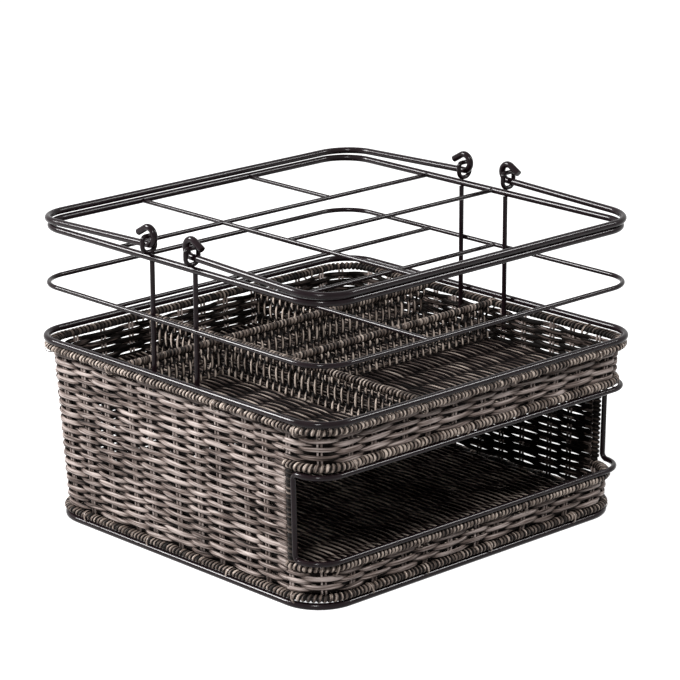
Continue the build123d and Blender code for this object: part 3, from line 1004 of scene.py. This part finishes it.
@dataclass
class Dividers:
    """Upright panels on the deck: short strands bend round three level wires and hang from a wrapped rail."""

    finish: bpy.types.Material
    deck_top: float = 107.85
    rail_z: float = 134.2
    rail_r: float = 2.75
    wire_z: tuple[float, float, float] = (108.6, 119.9, 131.2)
    half_wave: float = 12.6
    wire_r: float = 0.8
    pitch: float = 3.45
    swing: float = 1.5
    half_w: float = 1.1
    half_t: float = 0.7
    main_x: float = -56.4
    short_x: float = 51.4
    rear_y: float = 60.4
    front_y: float = -9.4
    wall: float = 6.55
    rail_inset: float = 4.65
    rail_shade: float = 0.2
    depth: float = 2.3
    tone: tuple[float, float] = (-0.15, 0.5)
    # painted shade on the edges of each strand
    edge_shade: float = 0.9
    # painted highlight on the crests and painted shade in the hollows of the divider
    relief_painted_light: float = 1.2

    def span(self, name: str, z: float, inset: float, clear: float) -> tuple[Array, Array]:
        """Start and end in plan of one divider at height z.

        Args:
            name: which divider.
            z: height that the basket's plan is read at.
            inset: distance kept from the wall's outer face.
            clear: distance kept from the middle of a divider it meets.

        Returns:
            Two points in millimetres.
        """
        half_x, half_y, _ = (float(v) for v in PLAN.at(z))
        right, back = half_x - inset, half_y - inset
        runs = {
            "depth_main": ((self.main_x, -back), (self.main_x, back)),
            "depth_short": ((self.short_x, self.rear_y + clear), (self.short_x, back)),
            "rear_left": ((-right, self.rear_y), (self.main_x - clear, self.rear_y)),
            "rear_right": ((self.main_x + clear, self.rear_y), (right, self.rear_y)),
            "front": ((self.main_x + clear, self.front_y), (right, self.front_y)),
        }
        start, end = runs[name]
        return np.array(start), np.array(end)

    def panel(self, name: str, seed: int) -> Patch:
        """Weaves one divider.

        A strand's sideways place is swing x tanh(1.6 cos(pi (z - middle wire) / half wave)) / tanh(1.6), so
        it passes the wires in turn on opposite sides, with the sign turned in every other strand; it
        straightens under the rail.

        Args:
            name: which divider.
            seed: number for its irregularity.

        Returns:
            Strands and level wires in one patch.
        """
        rng = np.random.default_rng(seed)
        start, end = self.span(name, self.deck_top, self.wall, self.depth)
        run = np.linalg.norm(end - start)
        along = (end - start) / run
        aside = np.array([-along[1], along[0]])
        count = int(run / self.pitch)
        place = (np.arange(count) + 0.5) * run / count
        low, high = self.deck_top - 0.6, self.rail_z - self.rail_r + 0.6
        z = np.linspace(low, high, 19)[None] + 0 * place[:, None]
        fade = np.clip((high - z) / 2.0, 0.0, 1.0)
        sign = np.where(np.arange(count) % 2 == 0, 1.0, -1.0)[:, None]
        wave = np.tanh(1.6 * np.cos(np.pi * (z - self.wire_z[1]) / self.half_wave)) / math.tanh(1.6)
        out = sign * self.swing * wave * fade
        lean = place[:, None] + waves(rng, z, (38.0,), 0.35) + rng.uniform(-0.2, 0.2, (count, 1))
        flat = start + along * lean[..., None] + aside * out[..., None]
        centre = np.concatenate([flat, z[..., None]], axis=-1)
        tone = rng.uniform(*self.tone, count)
        across = np.append(along, 0.0) + np.append(aside, 0.0) * rng.uniform(-0.25, 0.25, (count, 1, 1))
        strands = carry(
            centre,
            across,
            self.half_w,
            self.half_t,
            tone=tone,
            power=0.85,
            edge_painted_shade=self.edge_shade,
            first_id=seed,
        )
        sideways = np.append(aside, 0.0)
        strands.deepen(centre - sideways * out[..., None], sideways, self.swing + self.half_t, self.relief_painted_light)
        ends = np.linspace(0.3, run - 0.3, 8)
        line = start + along * ends[:, None]
        wires = np.stack(
            [np.concatenate([line, np.full((8, 1), level)], axis=-1) for level in self.wire_z]
        )
        level_wires = carry(wires, UP, self.wire_r, self.wire_r, sides=6, tone=0.1, first_id=950)
        return Patch.join([strands, level_wires])

    def rail(self, name: str, seed: int) -> Patch:
        """Winds the rail along a divider's top edge.

        Args:
            name: which divider.
            seed: number for its irregularity.

        Returns:
            The rail's surface.
        """
        start, end = self.span(name, self.rail_z, self.rail_inset, self.rail_r + 0.05)
        share = np.linspace(0, 1, 40)[:, None]
        path = np.concatenate([start + (end - start) * share, np.full((40, 1), self.rail_z)], axis=-1)
        along = (end - start) / np.linalg.norm(end - start)
        out = np.broadcast_to([-along[1], along[0], 0.0], path.shape)
        return wrap(path, out, self.rail_r, self.rail_r, self.pitch, False, seed, self.rail_shade)

    def build(self) -> None:
        """Makes the five dividers and their rails."""
        for i, name in enumerate(("depth_main", "depth_short", "rear_left", "rear_right", "front")):
            divider, rail = f"divider_{name}", f"rail_{name}"
            woven, wound = self.panel(name, 60 + i), self.rail(name, 80 + i)
            make_piece(f"{divider}_weave", woven, self.finish, Body.CADDY, (divider,))
            make_piece(f"{rail}_wrap", wound, self.finish, Body.CADDY, (rail,))


# ---------------------------------------------------------------- wire rack


@dataclass
class WireRack:
    """Coated wires that stay as the model has them and get their paint."""

    finish: bpy.types.Material

    def build(self) -> None:
        """Paints every wire node of the model."""
        woven = ("wall", "band", "lip", "floor", "deck", "divider", "rail_", "binding")
        for name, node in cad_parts.items():
            wire = not any(word in name for word in woven) or "wire_" in name
            if not wire:
                continue
            node.data.materials.clear()
            node.data.materials.append(self.finish)
            log.info("%s: painted", name)


# ---------------------------------------------------------------- studio


@dataclass
class Studio:
    """Camera, soft lights, a pale floor and a white surround."""

    target: tuple[float, float, float] = (0.0, 0.0, 0.1342)
    azimuth: float = -43.262
    elevation: float = 16.815
    roll: float = -0.196
    distance: float = 2.3214
    lens: float = 165.61
    shift: tuple[float, float] = (0.0063, 0.0008)
    floor_glow: float = 0.85

    def camera(self) -> None:
        """Sets the camera on a ray from the target, with right, up and back axes turned by the roll."""
        az, el, roll = (math.radians(v) for v in (self.azimuth, self.elevation, self.roll))
        right = Vector((math.cos(az), math.sin(az), 0.0))
        back = Vector((math.sin(az) * math.cos(el), -math.cos(az) * math.cos(el), math.sin(el)))
        up = back.cross(right)
        across = right * math.cos(roll) + up * math.sin(roll)
        upright = up * math.cos(roll) - right * math.sin(roll)
        data = bpy.data.cameras.new("camera")
        data.sensor_width = 36.0
        data.lens = self.lens
        data.shift_x, data.shift_y = self.shift
        camera = bpy.data.objects.new("camera", data)
        turn = Matrix((across, upright, back)).transposed().to_4x4()
        camera.matrix_world = Matrix.Translation(Vector(self.target) + back * self.distance) @ turn
        bpy.context.scene.collection.objects.link(camera)
        bpy.context.scene.camera = camera

    @staticmethod
    def softbox(
        name: str, place: tuple[float, float, float], size: tuple[float, float], watts: float
    ) -> None:
        """A rectangular area lamp that looks at the middle of the caddy.

        Args:
            name: its name.
            place: its position in metres.
            size: its width and height in metres.
            watts: its power.
        """
        data = bpy.data.lights.new(name, "AREA")
        data.shape = "RECTANGLE"
        data.size, data.size_y = size
        data.energy = watts
        lamp = bpy.data.objects.new(name, data)
        aim = Vector((0.0, 0.0, 0.1)) - Vector(place)
        lamp.matrix_world = Matrix.Translation(place) @ aim.to_track_quat("-Z", "Y").to_matrix().to_4x4()
        bpy.context.scene.collection.objects.link(lamp)

    def seen(self, tree: bpy.types.NodeTree) -> bpy.types.NodeSocket:
        """1 for rays from the camera and for reflected and refracted ones, 0 for the rest."""
        path = add_node(tree, "ShaderNodeLightPath").outputs
        total = add_node(
            tree, "ShaderNodeMath", {0: path["Is Camera Ray"], 1: path["Is Glossy Ray"]}, operation="ADD"
        ).outputs[0]
        either = {0: total, 1: path["Is Transmission Ray"]}
        return add_node(tree, "ShaderNodeMath", either, operation="ADD", use_clamp=True).outputs[0]

    def surround(self) -> None:
        """World that is white to look at and a plain grey light on the caddy."""
        world = bpy.data.worlds.new("surround")
        bpy.context.scene.world = world
        world.use_nodes = True
        tree = world.node_tree
        tree.nodes.clear()
        ambient = add_node(tree, "ShaderNodeBackground", {"Color": linear("#FFFFFF"), "Strength": 0.02})
        white = add_node(tree, "ShaderNodeBackground", {"Color": linear("#FFFFFF"), "Strength": 1.0})
        mix = add_node(
            tree, "ShaderNodeMixShader", {0: self.seen(tree), 1: ambient.outputs[0], 2: white.outputs[0]}
        )
        add_node(tree, "ShaderNodeOutputWorld", {"Surface": mix.outputs[0]})

    def floor(self) -> None:
        """Pale floor that glows to the camera: a flat disc, r from 0 to 7 m and q from 0 to 360 degrees."""
        rings, sectors = np.array([0.6, 2.0, 7.0]), 64
        q = 2 * np.pi * np.arange(sectors) / sectors
        flat = rings[:, None, None] * np.stack([np.cos(q), np.sin(q)], axis=-1)
        points = np.concatenate([flat, np.zeros(flat.shape[:-1] + (1,))], axis=-1).reshape(-1, 3)
        number = np.arange(len(points)).reshape(len(rings), sectors)
        here, there = number[:-1], number[1:]
        corners = [here, there, np.roll(there, -1, axis=1), np.roll(here, -1, axis=1)]
        quads = np.stack(corners, axis=-1).reshape(-1, 4)
        mesh = bpy.data.meshes.new("floor")
        mesh.from_pydata(points.tolist(), [], [number[0].tolist()] + quads.tolist())
        material = new_material("pale matt floor")
        tree = material.node_tree
        paint = add_node(tree, "ShaderNodeBsdfDiffuse", {"Color": linear("#B0B0B0")})
        strength = add_node(
            tree, "ShaderNodeMath", {0: self.seen(tree), 1: self.floor_glow}, operation="MULTIPLY"
        )
        glow = add_node(
            tree, "ShaderNodeEmission", {"Color": linear("#FFFFFF"), "Strength": strength.outputs[0]}
        )
        both = add_node(tree, "ShaderNodeAddShader", {0: paint.outputs[0], 1: glow.outputs[0]})
        add_node(tree, "ShaderNodeOutputMaterial", {"Surface": both.outputs[0]})
        mesh.materials.append(material)
        floor = bpy.data.objects.new("floor", mesh)
        bpy.context.scene.collection.objects.link(floor)

    def build(self) -> None:
        """Sets up the whole studio."""
        bpy.context.scene.view_settings.view_transform = "Standard"
        self.camera()
        self.softbox("left_softbox", (-1.7, -1.25, 1.75), (0.4, 0.4), 56.0)
        self.softbox("rear_left_softbox", (-1.25, 1.45, 1.25), (0.55, 0.7), 98.0)
        self.softbox("front_softbox", (1.3, -1.0, 1.35), (0.3, 0.5), 25.0)
        self.surround()
        self.floor()


def main() -> None:
    """Builds the studio and the caddy's sub-assemblies in order."""
    Studio().build()
    strand = WickerStrand("stained cane strand", "#090605", "#5E524D", "#A0948F", 0.3, 0.06)
    wrapped = WickerStrand("wound stained cane strand", "#090605", "#5E524B", "#B3A59A", 0.22, 0.12)
    shaded = WickerStrand("shaded cane strand", "#050303", "#453B37", "#A79A90", 0.3, 0.04)
    wire = CoatedWire("powder-coated steel wire", "#120A0D", "#1A1114")
    WireRack(wire.build()).build()
    strand_finish, wrapped_finish = strand.build(), wrapped.build()
    BasketWalls(strand_finish).build()
    WrappedBindings(wrapped_finish).build()
    WovenFloors(shaded.build()).build()
    Dividers(wrapped_finish).build()
    bpy.context.view_layer.update()


if __name__ == "__main__":
    logging.basicConfig(level=logging.INFO, format="%(name)s %(message)s")
    main()
